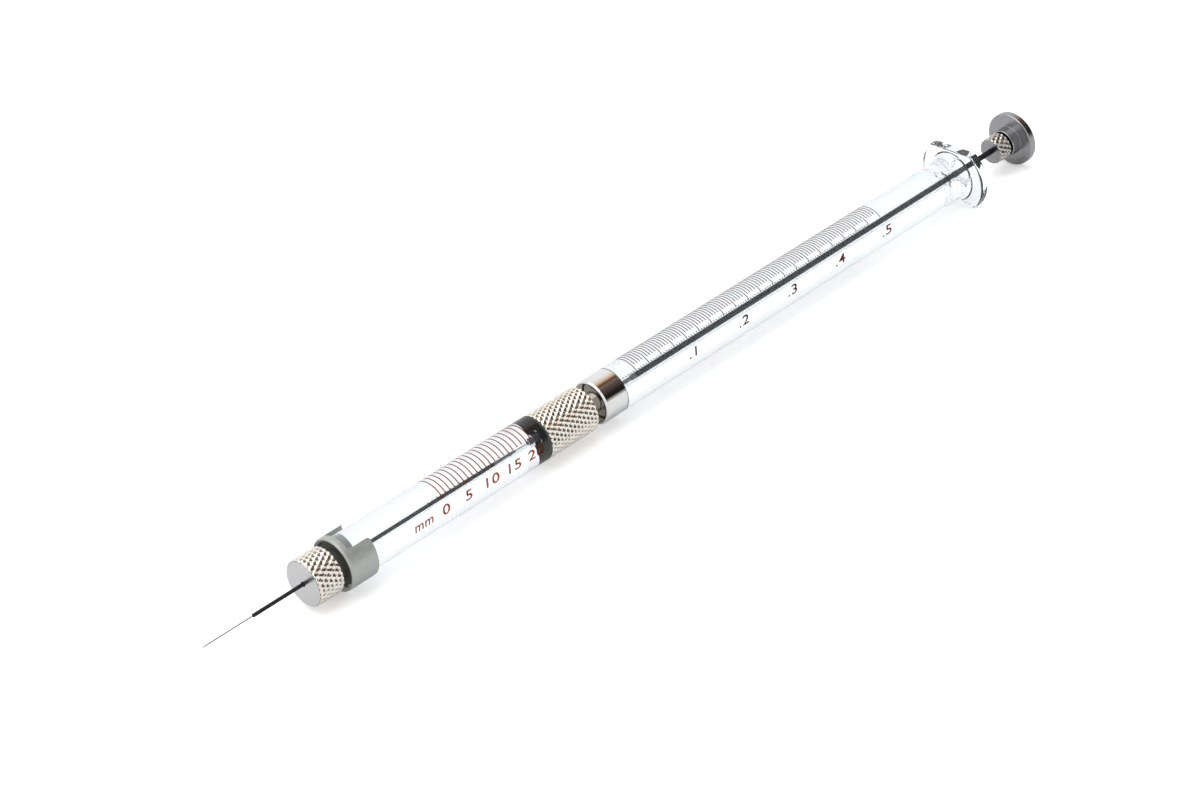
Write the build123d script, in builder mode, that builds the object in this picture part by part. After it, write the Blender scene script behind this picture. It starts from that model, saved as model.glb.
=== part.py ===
from build123d import *
import os
from math import cos, pi, radians, sin, tan

# A half-microlitre syringe that lies on its side. Its axis runs along +X, from the needle's tip to the button.
# The origin is under the middle of its length, on the surface that it lies on.
# A station is a distance along the axis, measured from the sleeve's front end.

# ---- needle unit ----
needle_od = 0.23
needle_bore = 0.13
needle_bare = 10.3
needle_bevel = 22.0
sleeve_od = 0.64
sleeve_bore = 0.42
sleeve_length = 50.9
sleeve_chamfer = 0.06
bush_length = 4.7
bush_spigot = 1.5
bush_front_od = 0.60
bush_rear_od = 0.46
shank_od = 0.70
shank_length = 13.0

# ---- lock nut, collet and stud ----
sleeve_stand_out = 10.4
nut_od = 8.36
nut_length = 5.0
nut_wall = 1.2
nut_face_chamfer = 0.28
nut_nose_hole = 0.98
nut_gap = 1.2
stud_od = 5.2
stud_setback = 0.75
stud_flange = 0.55
collet_od = 2.8
collet_head = 0.8
collet_cone = 1.5
collet_tail_od = 1.5
collet_nose_od = 0.90
collet_nose = 0.8
collet_slot = 0.16
collet_slots = 4
collet_slot_share = 0.75

# ---- front collar ----
collar_wall = 0.67
collar_ring = 1.2
collar_finger = 4.4
collar_slot = 6.2
collar_slot_radius = 0.35
collar_lip = 0.28

# ---- guide tube and socket ----
tube_od = 8.16
tube_length = 43.1
tube_edge = 0.15
socket_flange = 0.35
socket_flange_inset = 0.03
socket_nose_od = 1.2
socket_nose = 2.4
socket_neck_od = 4.8
socket_neck = 5.15
socket_bore_depth = 3.7
swivel_od = 6.8
swivel_length = 3.05
swivel_chamfer = 0.15

# ---- knurled hub, seal and stud ----
hub_od = 8.24
hub_length = 10.75
hub_wall = 2.0
hub_end_chamfer = 0.22
hub_thread_od = 6.8
seal_od = 4.4
seal_tip_od = 1.6
seal_length = 1.6
seal_bite = 1.1
neck_od = 3.8
neck_length = 1.95
thread_chamfer = 0.15

# ---- barrel ----
ferrule_length = 4.95
ferrule_wall = 0.55
ferrule_floor = 0.9
ferrule_round = 0.32
ferrule_rear_round = 0.1
barrel_od = 8.0
rod_play = 0.07
scale_setback = 3.62
scale_length = 60.9
scale_to_flange = 21.9
flange_od = 14.0
flange_flats = 10.4
flange_thickness = 1.9
flange_flare = 2.6
flange_flare_rise = 0.85
flange_edge = 0.45
flange_flat_edge = 0.25
mouth_od = 3.6
mouth_depth = 3.0
needle_gap = 0.4

# ---- plunger ----
rod_od = 1.0
wire_od = 0.09
wire_setback = 0.2
wire_anchor = 4.0
rod_tip_length = 1.0
rod_tip_chamfer = 0.12
rod_stand_out = 8.8
rod_seat = 1.3
clamp_od = 4.95
clamp_length = 2.9
clamp_wall = 0.8
clamp_chamfer = 0.2
clamp_gap = 0.45
clamp_thread_od = 3.2
clamp_setback = 0.5
chuck_od = 2.5
chuck_head = 0.45
chuck_cone = 1.0
chuck_tail_od = 1.6
boss_od = 5.2
boss_length = 1.98
button_od = 9.9
button_thickness = 1.4
button_chamfer = 0.22
button_dish = 0.2

# ---- knurls ----
knurl_pitch = 1.0
knurl_depth = 0.26
hub_knurl_step = 0.77
nut_knurl_step = 0.86
clamp_knurl_step = 0.8

# ---- clearances on the radius, and gaps along the axis ----
running_fit = 0.02
sliding_fit = 0.05
face_gap = 0.05

# ---- stations along the axis ----
tip_at = -needle_bare
nut_at = sleeve_stand_out
nut_end = nut_at + nut_length
collar_at = nut_end + nut_gap
tube_at = collar_at + collar_ring
tube_end = tube_at + tube_length
hub_at = tube_end + socket_flange
hub_end = hub_at + hub_length
neck_end = hub_end + neck_length
ferrule_end = neck_end + ferrule_length
scale_zero = ferrule_end + scale_setback
scale_end = scale_zero + scale_length
flange_at = scale_end + scale_to_flange
barrel_end = flange_at + flange_thickness
clamp_at = barrel_end + rod_stand_out
clamp_end = clamp_at + clamp_length
boss_at = clamp_end + clamp_gap
button_at = boss_at + boss_length
button_end = button_at + button_thickness

# ---- diameters that follow from others ----
collar_od = tube_od + 2 * collar_wall
socket_flange_od = tube_od - 2 * socket_flange_inset
ferrule_od = barrel_od
barrel_bore = rod_od + 2 * rod_play

# ---- ends inside the syringe ----
needle_end = scale_zero - needle_gap
sleeve_end = sleeve_length
bush_end = sleeve_end + bush_length
socket_end = hub_at + socket_neck
seal_end = socket_end + face_gap + seal_length
union_at = seal_end - seal_bite + face_gap
middle = (tip_at + button_end) / 2
axis_height = flange_flats / 2

lathe = Plane(origin=(-middle, 0, axis_height), x_dir=(1, 0, 0), z_dir=(0, -1, 0))
axis = Axis((0, 0, axis_height), (1, 0, 0))


def across(station):
    """The plane square to the axis at a station, with its local Y pointing up."""
    return Plane(origin=(station - middle, 0, axis_height), x_dir=(0, 1, 0), z_dir=(1, 0, 0))


def finish(piece, name):
    """Label a finished piece and write its STEP file."""
    piece.part.label = name
    export_step(piece.part, f"parts/{name}.step")


def outline(*points):
    """A closed outline of (station, radius) points, as a face in the open sketch."""
    Polygon(*points, align=None)


def ring(start, end, outer, inner):
    """A rectangle between two stations and two diameters, as a face in the open sketch."""
    outline((start, inner / 2), (end, inner / 2), (end, outer / 2), (start, outer / 2))


def knurled_blank(start, length, od, step):
    """A round blank whose skin is a grid of four-sided pyramids, as a diamond knurl leaves it."""
    columns = 2 * round(pi * od / knurl_pitch)
    rows = max(2, round(length / step))

    def corner(column, row):
        radius = od / 2 if (column + row) % 2 else od / 2 - knurl_depth
        angle = 2 * pi * column / columns
        station = start - middle + length * row / rows
        return (station, radius * cos(angle), axis_height + radius * sin(angle))

    faces = []
    for row in range(rows + 1):
        for column in range((row + 1) % 2, columns, 2):
            tip = corner(column, row)
            right = corner(column + 1, row)
            left = corner(column - 1, row)
            for other in (row - 1, row + 1):
                if 0 <= other <= rows:
                    far = corner(column, other)
                    faces.append(Face(Wire.make_polygon([tip, right, far])))
                    faces.append(Face(Wire.make_polygon([tip, far, left])))
    for row in (0, rows):
        faces.append(Face(Wire.make_polygon([corner(column, row) for column in range(columns)])))
    return Solid(Shell(faces))


def chamfered_rod(start, end, od, front, rear):
    """A rod's half outline with 45-degree chamfers at its two ends, as a face in the open sketch."""
    outline(
        (start, 0),
        (end, 0),
        (end, od / 2 - rear),
        (end - rear, od / 2),
        (start + front, od / 2),
        (start, od / 2 - front),
    )


def slot_star(od, slots, width):
    """Straight slots that cross at the axis, as faces in the open sketch."""
    for turn in range(slots // 2):
        Rectangle(od, width, rotation=turn * 360 / slots)


def outer_rims():
    """The open part's circles of the largest radius, from front to rear."""
    return edges().filter_by(GeomType.CIRCLE).group_by(SortBy.RADIUS)[-1].sort_by(Axis.X)


# ================= needle unit =================

def make_needle():
    with BuildPart() as needle:
        with BuildSketch(lathe):
            ring(tip_at, needle_end, needle_od, needle_bore)
        revolve(axis=axis)
        bevel_run = needle_od / tan(radians(needle_bevel))
        with BuildSketch(lathe):
            outline((tip_at, -needle_od / 2), (tip_at + bevel_run, needle_od / 2), (tip_at, needle_od / 2))
        extrude(amount=needle_od, both=True, mode=Mode.SUBTRACT)
    finish(needle, "needle")


def make_needle_sleeve():
    with BuildPart() as sleeve:
        with BuildSketch(lathe):
            outline(
                (0, sleeve_bore / 2),
                (sleeve_end, sleeve_bore / 2),
                (sleeve_end, sleeve_od / 2),
                (sleeve_chamfer, sleeve_od / 2),
                (0, sleeve_od / 2 - sleeve_chamfer),
            )
        revolve(axis=axis)
    finish(sleeve, "needle_sleeve")


def make_sleeve_bush():
    bore = needle_od / 2 + running_fit
    spigot = sleeve_bore / 2 - running_fit / 2
    with BuildPart() as bush:
        with BuildSketch(lathe):
            outline(
                (sleeve_end - bush_spigot, bore),
                (bush_end, bore),
                (bush_end, bush_rear_od / 2),
                (sleeve_end, bush_front_od / 2),
                (sleeve_end, spigot),
                (sleeve_end - bush_spigot, spigot),
            )
        revolve(axis=axis)
    finish(bush, "sleeve_bush")


def make_needle_shank():
    with BuildPart() as shank:
        with BuildSketch(lathe):
            ring(needle_end - shank_length, needle_end, shank_od, needle_od + running_fit)
        revolve(axis=axis)
    finish(shank, "needle_shank")


# ================= lock nut, collet, stud and collar =================

cavity_at = nut_at + nut_wall
stud_at = nut_at + nut_wall + stud_setback
stud_end = tube_at
stud_flange_at = stud_end - stud_flange
collet_at = cavity_at + face_gap
collet_end = collet_at + collet_head + collet_cone


def make_front_lock_nut():
    with BuildPart() as nut:
        add(knurled_blank(nut_at, nut_length, nut_od, nut_knurl_step))
        with BuildSketch(lathe):
            chamfered_rod(nut_at, nut_end, nut_od, nut_face_chamfer, nut_face_chamfer / 2)
        revolve(axis=axis, mode=Mode.INTERSECT)
        with BuildSketch(lathe):
            ring(nut_at, cavity_at, nut_nose_hole, 0)
            ring(cavity_at, nut_end, stud_od + 2 * sliding_fit, 0)
        revolve(axis=axis, mode=Mode.SUBTRACT)
    finish(nut, "front_lock_nut")


def make_lock_collet():
    bore = sleeve_od / 2 + running_fit / 2
    nose_at = collet_at - collet_nose
    with BuildPart() as collet:
        with BuildSketch(lathe):
            outline(
                (nose_at, bore),
                (collet_end, bore),
                (collet_end, collet_tail_od / 2),
                (collet_at + collet_head, collet_od / 2),
                (collet_at, collet_od / 2),
                (collet_at, collet_nose_od / 2),
                (nose_at, collet_nose_od / 2),
            )
        revolve(axis=axis)
        with BuildSketch(across(nose_at)):
            slot_star(collet_od, collet_slots, collet_slot)
        extrude(amount=(collet_end - nose_at) * collet_slot_share, mode=Mode.SUBTRACT)
    finish(collet, "lock_collet")


def make_collet_stud():
    bore = sleeve_od / 2 + sliding_fit
    seat_wide = collet_od / 2 + sliding_fit
    seat_narrow = collet_tail_od / 2 + sliding_fit
    seat_head = collet_at + collet_head + face_gap
    flange_od = tube_od - 2 * tube_edge
    with BuildPart() as stud:
        with BuildSketch(lathe):
            outline(
                (stud_at, seat_wide),
                (seat_head, seat_wide),
                (collet_end + face_gap, seat_narrow),
                (collet_end + face_gap, bore),
                (stud_end, bore),
                (stud_end, flange_od / 2),
                (stud_flange_at, flange_od / 2),
                (stud_flange_at, stud_od / 2),
                (stud_at, stud_od / 2),
            )
        revolve(axis=axis)
    finish(stud, "collet_stud")


def make_front_collar():
    collar_end = tube_at + collar_finger
    inner = tube_od / 2 + running_fit
    wall = collar_od / 2 - inner
    with BuildPart() as collar:
        with BuildSketch(lathe):
            outline(
                (collar_at + wall - collar_lip, inner),
                (collar_end, inner),
                (collar_end, collar_od / 2),
                (collar_at, collar_od / 2),
                (collar_at, collar_od / 2 - collar_lip),
            )
        revolve(axis=axis)
        with BuildSketch(Plane.XY.offset(axis_height)):
            with Locations((collar_end - middle, 0)):
                Rectangle(2 * collar_finger, collar_slot)
            corners = vertices().group_by(Axis.X)[0]
            fillet(corners, collar_slot_radius)
        extrude(amount=collar_od, both=True, mode=Mode.SUBTRACT)
    finish(collar, "front_collar")


# ================= guide tube and its socket =================

def make_guide_tube():
    with BuildPart() as tube:
        with BuildSketch(lathe):
            ring(tube_at, tube_end, tube_od, sleeve_od + 2 * sliding_fit)
        revolve(axis=axis)
        with BuildSketch(lathe):
            ring(tube_end - socket_nose - face_gap, tube_end, socket_nose_od + 2 * sliding_fit, 0)
        revolve(axis=axis, mode=Mode.SUBTRACT)
        fillet(outer_rims(), tube_edge)
    finish(tube, "guide_tube")


def make_tube_socket():
    bore = sleeve_od / 2 + sliding_fit
    bore_end = hub_at + socket_bore_depth
    with BuildPart() as socket:
        with BuildSketch(lathe):
            outline(
                (tube_end - socket_nose, bore),
                (bore_end, bore),
                (bore_end, needle_od / 2 + running_fit),
                (socket_end, needle_od / 2 + running_fit),
                (socket_end, socket_neck_od / 2),
                (hub_at, socket_neck_od / 2),
                (hub_at, socket_flange_od / 2),
                (tube_end, socket_flange_od / 2),
                (tube_end, socket_nose_od / 2),
                (tube_end - socket_nose, socket_nose_od / 2),
            )
        revolve(axis=axis)
    finish(socket, "tube_socket")


def make_swivel_bush():
    with BuildPart() as bush:
        with BuildSketch(lathe):
            ring(socket_end - swivel_length, socket_end, swivel_od, socket_neck_od + running_fit)
        revolve(axis=axis)
        chamfer(outer_rims(), swivel_chamfer)
    finish(bush, "swivel_bush")


# ================= hub, seal and union =================

def make_knurled_hub():
    wall_end = hub_at + hub_wall
    cavity = hub_thread_od + 2 * sliding_fit
    with BuildPart() as hub:
        add(knurled_blank(hub_at, hub_length, hub_od, hub_knurl_step))
        with BuildSketch(lathe):
            chamfered_rod(hub_at, hub_end, hub_od, hub_end_chamfer / 2, hub_end_chamfer)
        revolve(axis=axis, mode=Mode.INTERSECT)
        with BuildSketch(lathe):
            ring(hub_at, wall_end, socket_neck_od + 2 * sliding_fit, 0)
            ring(wall_end, hub_end, cavity, 0)
        revolve(axis=axis, mode=Mode.SUBTRACT)
    finish(hub, "knurled_hub")


def make_needle_seal():
    seal_at = socket_end + face_gap
    with BuildPart() as seal:
        with BuildSketch(lathe):
            outline(
                (seal_at, needle_od / 2 + running_fit / 2),
                (seal_end, needle_od / 2 + running_fit / 2),
                (seal_end, seal_tip_od / 2),
                (seal_end - seal_bite, seal_od / 2),
                (seal_at, seal_od / 2),
            )
        revolve(axis=axis)
    finish(seal, "needle_seal")


def make_union_stud():
    bore = shank_od / 2 + sliding_fit
    seat_wide = seal_od / 2 + sliding_fit
    seat_narrow = seal_tip_od / 2 + sliding_fit
    neck_at = hub_end + face_gap
    with BuildPart() as stud:
        with BuildSketch(lathe):
            outline(
                (union_at, seat_wide),
                (seal_end + face_gap, seat_narrow),
                (seal_end + face_gap, bore),
                (neck_end, bore),
                (neck_end, neck_od / 2),
                (neck_at, neck_od / 2),
                (neck_at, hub_thread_od / 2 - thread_chamfer),
                (neck_at - thread_chamfer, hub_thread_od / 2),
                (union_at, hub_thread_od / 2),
            )
        revolve(axis=axis)
    finish(stud, "union_stud")


def make_barrel_ferrule():
    cup = ferrule_od - 2 * ferrule_wall
    with BuildPart() as ferrule:
        with BuildSketch(lathe):
            ring(neck_end, neck_end + ferrule_floor, ferrule_od, shank_od + 2 * sliding_fit)
            ring(neck_end + ferrule_floor, ferrule_end, ferrule_od, cup)
        revolve(axis=axis)
        fillet(outer_rims()[0], ferrule_round)
        fillet(outer_rims()[-1], ferrule_rear_round)
    finish(ferrule, "barrel_ferrule")


# ================= barrel =================

def make_barrel():
    spigot = ferrule_od / 2 - ferrule_wall - running_fit
    spigot_at = neck_end + ferrule_floor + face_gap
    shoulder = ferrule_end + face_gap
    flare_at = flange_at - flange_flare
    body = barrel_od / 2
    with BuildPart() as barrel:
        with BuildSketch(lathe):
            with BuildLine():
                Polyline(
                    (flange_at, body + flange_flare_rise),
                    (flange_at, flange_od / 2),
                    (barrel_end, flange_od / 2),
                    (barrel_end, mouth_od / 2),
                    (barrel_end - mouth_depth, barrel_bore / 2),
                    (spigot_at, barrel_bore / 2),
                    (spigot_at, spigot),
                    (shoulder, spigot),
                    (shoulder, body),
                    (flare_at, body),
                )
                TangentArc((flare_at, body), (flange_at, body + flange_flare_rise), tangent=(1, 0))
            make_face()
            fillet(vertices().group_by(Axis.Y)[-1], flange_edge)
        revolve(axis=axis)
        with BuildSketch(across(flange_at)):
            Rectangle(2 * flange_od, 2 * flange_od)
            Rectangle(2 * flange_od, flange_flats, mode=Mode.SUBTRACT)
        extrude(amount=flange_thickness, mode=Mode.SUBTRACT)
        fillet(faces().filter_by(Axis.Z).edges(), flange_flat_edge)
    finish(barrel, "barrel")


# ================= plunger =================

tip_rear = scale_zero + rod_tip_length
rod_end = boss_at + rod_seat
chuck_seat_at = clamp_at + clamp_wall + clamp_setback
chuck_at = clamp_at + clamp_wall + face_gap
chuck_end = chuck_at + chuck_head + chuck_cone


def make_plunger_wire():
    with BuildPart() as wire:
        with BuildSketch(lathe):
            ring(tip_at + wire_setback, tip_rear + wire_anchor, wire_od, 0)
        revolve(axis=axis)
    finish(wire, "plunger_wire")


def make_rod_tip():
    with BuildPart() as tip:
        with BuildSketch(lathe):
            ring(scale_zero, tip_rear, rod_od, wire_od + running_fit)
        revolve(axis=axis)
        chamfer(outer_rims()[0], rod_tip_chamfer)
    finish(tip, "rod_tip")


def make_plunger_rod():
    with BuildPart() as rod:
        with BuildSketch(lathe):
            ring(tip_rear, rod_end, rod_od, 0)
        revolve(axis=axis)
        with BuildSketch(lathe):
            ring(tip_rear, tip_rear + wire_anchor + face_gap, wire_od + running_fit, 0)
        revolve(axis=axis, mode=Mode.SUBTRACT)
    finish(rod, "plunger_rod")


def make_plunger_nut():
    with BuildPart() as nut:
        add(knurled_blank(clamp_at, clamp_length, clamp_od, clamp_knurl_step))
        with BuildSketch(lathe):
            chamfered_rod(clamp_at, clamp_end, clamp_od, clamp_chamfer, clamp_chamfer / 2)
        revolve(axis=axis, mode=Mode.INTERSECT)
        with BuildSketch(lathe):
            ring(clamp_at, clamp_at + clamp_wall, rod_od + 2 * sliding_fit, 0)
            ring(clamp_at + clamp_wall, clamp_end, clamp_thread_od + 2 * sliding_fit, 0)
        revolve(axis=axis, mode=Mode.SUBTRACT)
    finish(nut, "plunger_nut")


def make_rod_collet():
    bore = rod_od / 2 + running_fit / 2
    with BuildPart() as collet:
        with BuildSketch(lathe):
            outline(
                (chuck_at, bore),
                (chuck_end, bore),
                (chuck_end, chuck_tail_od / 2),
                (chuck_at + chuck_head, chuck_od / 2),
                (chuck_at, chuck_od / 2),
            )
        revolve(axis=axis)
        with BuildSketch(across(chuck_at)):
            slot_star(chuck_od, collet_slots, collet_slot)
        extrude(amount=(chuck_end - chuck_at) * collet_slot_share, mode=Mode.SUBTRACT)
    finish(collet, "rod_collet")


def make_plunger_button():
    bore = rod_od / 2 + running_fit
    seat_wide = chuck_od / 2 + sliding_fit
    seat_narrow = chuck_tail_od / 2 + sliding_fit
    radius = button_od / 2
    with BuildPart() as button:
        with BuildSketch(lathe):
            outline(
                (chuck_seat_at, seat_wide),
                (chuck_at + chuck_head + face_gap, seat_wide),
                (chuck_end + face_gap, seat_narrow),
                (chuck_end + face_gap, bore),
                (rod_end + face_gap, bore),
                (rod_end + face_gap, 0),
                (button_end - button_dish, 0),
                (button_end, radius - 2 * button_chamfer),
                (button_end, radius - button_chamfer),
                (button_end - button_chamfer, radius),
                (button_at + button_chamfer, radius),
                (button_at, radius - button_chamfer),
                (button_at, boss_od / 2),
                (boss_at, boss_od / 2),
                (boss_at, clamp_thread_od / 2),
                (chuck_seat_at, clamp_thread_od / 2),
            )
        revolve(axis=axis)
        chamfer(edges().filter_by(on_boss_front), button_chamfer / 2)
    finish(button, "plunger_button")


def on_boss_front(edge):
    """Whether an edge is the outer edge of the boss's front face."""
    if edge.geom_type != GeomType.CIRCLE:
        return False
    return abs(edge.radius - boss_od / 2) < 1e-6 and abs(edge.center().X + middle - boss_at) < 1e-6


os.makedirs("parts", exist_ok=True)
make_needle()
make_needle_sleeve()
make_sleeve_bush()
make_needle_shank()
make_front_lock_nut()
make_lock_collet()
make_collet_stud()
make_front_collar()
make_guide_tube()
make_tube_socket()
make_swivel_bush()
make_knurled_hub()
make_needle_seal()
make_union_stud()
make_barrel_ferrule()
make_barrel()
make_plunger_wire()
make_rod_tip()
make_plunger_rod()
make_plunger_nut()
make_rod_collet()
make_plunger_button()
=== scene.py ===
import bmesh
import bpy
import numpy as np
from mathutils import Matrix, Vector


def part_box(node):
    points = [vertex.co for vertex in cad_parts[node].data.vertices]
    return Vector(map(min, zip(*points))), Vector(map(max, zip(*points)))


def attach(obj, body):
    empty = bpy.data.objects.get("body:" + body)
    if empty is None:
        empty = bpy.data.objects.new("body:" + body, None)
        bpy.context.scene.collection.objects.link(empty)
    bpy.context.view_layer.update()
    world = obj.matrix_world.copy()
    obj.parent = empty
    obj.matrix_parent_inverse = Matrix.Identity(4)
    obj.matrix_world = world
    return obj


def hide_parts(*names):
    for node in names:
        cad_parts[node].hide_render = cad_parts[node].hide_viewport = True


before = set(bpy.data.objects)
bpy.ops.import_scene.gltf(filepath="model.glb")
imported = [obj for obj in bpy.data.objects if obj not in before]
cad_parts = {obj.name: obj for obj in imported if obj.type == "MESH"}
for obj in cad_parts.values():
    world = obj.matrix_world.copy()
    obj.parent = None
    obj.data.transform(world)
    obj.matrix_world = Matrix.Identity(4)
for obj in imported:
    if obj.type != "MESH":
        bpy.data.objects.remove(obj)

bl_info = {
    "name": "Microsyringe dresser",
    "version": (1, 0, 0),
    "blender": (4, 5, 0),
    "location": "View3D > Sidebar > Microsyringe",
    "description": "Builds the glass, the turned and knurled metal and the printed scales of a microsyringe",
    "category": "Object",
}

# Stations are millimetres along the axis from the sleeve's front end, as in the part's source.
MM = 0.001
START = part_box("needle_sleeve")[0].x
AXIS_HEIGHT = (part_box("guide_tube")[0].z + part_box("guide_tube")[1].z) / 2
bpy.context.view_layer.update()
AROUND = 144  # columns of a turned piece
FINENESS = 16  # columns around and rows along for each diamond of a knurl
BARREL_RADIUS = 4.0
WIRE_HOLE = 0.055  # radius of the hole for the wire in the rod and its tip

# The printed scales: where their zero lines lie, and how far from one line to the next.
GUIDE_ZERO, GUIDE_STEP = 37.74, 1.0
BARREL_ZERO, BARREL_STEP = 82.52, 0.609
INK_GAP = 0.002
# A numeral's font size, letter spacing, added weight and slant, for a height of 1.
LETTER_SIZE, LETTER_SPACING, LETTER_WEIGHT, SLANT = 1.16, 1.06, 0.015, 0.2


def station_of(node, end):
    """The station of a CAD node's front (0) or rear (1) end, in millimetres."""
    return (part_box(node)[end].x - START) / MM


def span_of(node):
    """The stations of a CAD node's front and rear ends, in millimetres."""
    return station_of(node, 0), station_of(node, 1)


def diameter_of(node):
    """A round CAD node's height, in millimetres."""
    low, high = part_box(node)
    return (high.z - low.z) / MM


# ================= sizes and colours that a user would change =================


def colour_setting(name, description, default):
    """A colour that a user can change."""
    return bpy.props.FloatVectorProperty(
        name=name, description=description, subtype="COLOR", size=3, min=0, max=1, default=default)


class GlassSettings(bpy.types.PropertyGroup):
    tint: colour_setting("Glass tint", "Colour that the clear glass gives to light", (0.93, 0.97, 1.0))
    shade: colour_setting(
        "Shadow tint", "Share of lamp light that the glass lets through to the bench", (0.04, 0.06, 0.08))
    clear: bpy.props.FloatProperty(
        name="Clearness", description="Share of the light that the glass lets through, the rest being haze",
        min=0.5, max=1, default=0.985)
    bend: bpy.props.FloatProperty(
        name="Index of refraction", description="How strongly the glass bends light",
        min=1, max=2, default=1.473)
    bore: bpy.props.FloatProperty(
        name="Barrel bore", description="Diameter of the barrel's bore, in millimetres",
        min=1.02, max=2, default=1.14)
    flange_round: bpy.props.FloatProperty(
        name="Flange rounding", description="Radius of the flange's rim edges, in millimetres",
        min=0.1, max=0.9, default=0.45)


class MetalSettings(bpy.types.PropertyGroup):
    nickel: colour_setting(
        "Polished nickel", "Colour of the mirror-polished ferrule and neck", (0.77, 0.772, 0.77))
    knurl: colour_setting("Knurled nickel", "Colour of the knurled skins", (0.92, 0.885, 0.82))
    # The ferrule's face is the same polished nickel as the rest: its darker, warmer colour is painted
    # reflection and shade of the hub mirrored in it
    mirrored: colour_setting(
        "Ferrule's face", "Colour of the ferrule's front face, which the knurl is mirrored in",
        (0.30, 0.28, 0.24))
    face: colour_setting("Lock nut's face", "Colour of the lock nut's faced front", (0.60, 0.60, 0.61))
    satin: colour_setting("Satin steel", "Colour of the satin collar", (0.44, 0.455, 0.435))
    dark: colour_setting(
        "Dark steel", "Colour of the turned button and the tube's socket", (0.33, 0.33, 0.34))
    sleeve: colour_setting("Darkened sleeve", "Colour of the needle's dark sleeve", (0.019, 0.020, 0.021))
    socket: colour_setting("Blackened socket", "Colour of the tube's blackened socket", (0.055, 0.058, 0.062))
    shank: colour_setting(
        "Needle shank", "Colour of the tube round the needle's rear end", (0.15, 0.155, 0.14))
    needle: colour_setting("Needle steel", "Colour of the drawn needle and its shank", (0.42, 0.40, 0.37))
    rod: colour_setting("Rod black", "Colour of the plunger rod's black coat", (0.013, 0.0155, 0.0175))


class KnurlSettings(bpy.types.PropertyGroup):
    pitch: bpy.props.FloatProperty(
        name="Pitch around", description="Width of one diamond around the piece, in millimetres",
        min=0.4, max=3, default=1.0)
    depth: bpy.props.FloatProperty(
        name="Groove depth", description="Depth of the knurl's grooves, in millimetres",
        min=0.02, max=0.5, default=0.26)


class PrintSettings(bpy.types.PropertyGroup):
    guide_ink: colour_setting("Guide tube ink", "Colour of the guide tube's scale", (0.34, 0.082, 0.025))
    barrel_ink: colour_setting("Barrel ink", "Colour of the barrel's scale", (0.13, 0.036, 0.024))
    line: bpy.props.FloatProperty(
        name="Line width", description="Width of the scales' lines, in millimetres",
        min=0.05, max=0.4, default=0.22)
    film: bpy.props.FloatProperty(
        name="Ink thickness", description="How far the ink stands above the glass, in millimetres",
        min=0.005, max=0.05, default=0.015)
    numeral: bpy.props.FloatProperty(
        name="Numeral height", description="Height of the plain numerals, in millimetres",
        min=0.5, max=4, default=2.0)


class StageSettings(bpy.types.PropertyGroup):
    floor: bpy.props.FloatProperty(
        name="Bench size", description="Length of the bench's side",
        subtype="DISTANCE", unit="LENGTH", min=1, max=20, default=12)
    bench: colour_setting("Bench colour", "Colour of the plain pale bench", (0.92, 0.92, 0.92))
    glow: bpy.props.FloatProperty(
        name="Bench glow", description="Light that the bench gives itself, as a light table does",
        min=0, max=5, default=0.36)
    through: bpy.props.FloatProperty(
        name="Glow through glass", description="Extra bench glow seen through the glass",
        min=0, max=5, default=0.3)
    sky: bpy.props.FloatProperty(
        name="Studio reflections", description="Strength of the studio as it shows in glass and metal",
        min=0, max=10, default=1.03)
    fill: bpy.props.FloatProperty(
        name="Studio fill", description="Strength of the even light that the studio gives",
        min=0, max=10, default=0.62)
    softbox: bpy.props.FloatProperty(
        name="Softbox strength", description="Light that the large softbox above the syringe gives",
        min=0, max=10, default=1.43)
    lens: bpy.props.FloatProperty(
        name="Lens", description="The camera's focal length in millimetres, on a 36 mm wide sensor",
        min=10, max=300, default=116.58)


GROUPS = {
    "syringe_glass": GlassSettings,
    "syringe_metal": MetalSettings,
    "syringe_knurl": KnurlSettings,
    "syringe_print": PrintSettings,
    "syringe_stage": StageSettings,
}


# ================= surfaces =================


def rounded(corners, steps=7):
    """A closed profile with its corners rounded. corners are (station, radius, rounding) rows. Each
    corner is replaced by the arc that touches both of its sides: from its centre, which lies on the
    halving line, the arc's points are centre + rounding * (cos t, sin t) between the two touching points."""
    data = np.array(corners, float)
    here, size = data[:, :2], data[:, 2]
    before, after = np.roll(here, 1, 0) - here, np.roll(here, -1, 0) - here
    before /= np.linalg.norm(before, axis=1)[:, None]
    after /= np.linalg.norm(after, axis=1)[:, None]
    half = np.arccos(np.clip((before * after).sum(1), -1, 1)) / 2
    middle = before + after
    length = np.linalg.norm(middle, axis=1)
    middle = np.where(length[:, None] > 1e-9, middle / np.maximum(length, 1e-9)[:, None], 0)
    centre = here + middle * (size / np.sin(half))[:, None]
    first = here + before * (size / np.tan(half))[:, None] - centre
    last = here + after * (size / np.tan(half))[:, None] - centre
    share = np.linspace(0, 1, steps)
    sweep = np.pi - 2 * half
    weight_a = np.sin((1 - share)[None] * sweep[:, None]) / np.maximum(np.sin(sweep), 1e-9)[:, None]
    weight_b = np.sin(share[None] * sweep[:, None]) / np.maximum(np.sin(sweep), 1e-9)[:, None]
    arcs = centre[:, None] + first[:, None] * weight_a[..., None] + last[:, None] * weight_b[..., None]
    keep = np.ones(arcs.shape[:2], bool)
    keep[size < 1e-6, 1:] = False
    arcs[size < 1e-6] = here[size < 1e-6][:, None]
    return arcs[keep]


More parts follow.
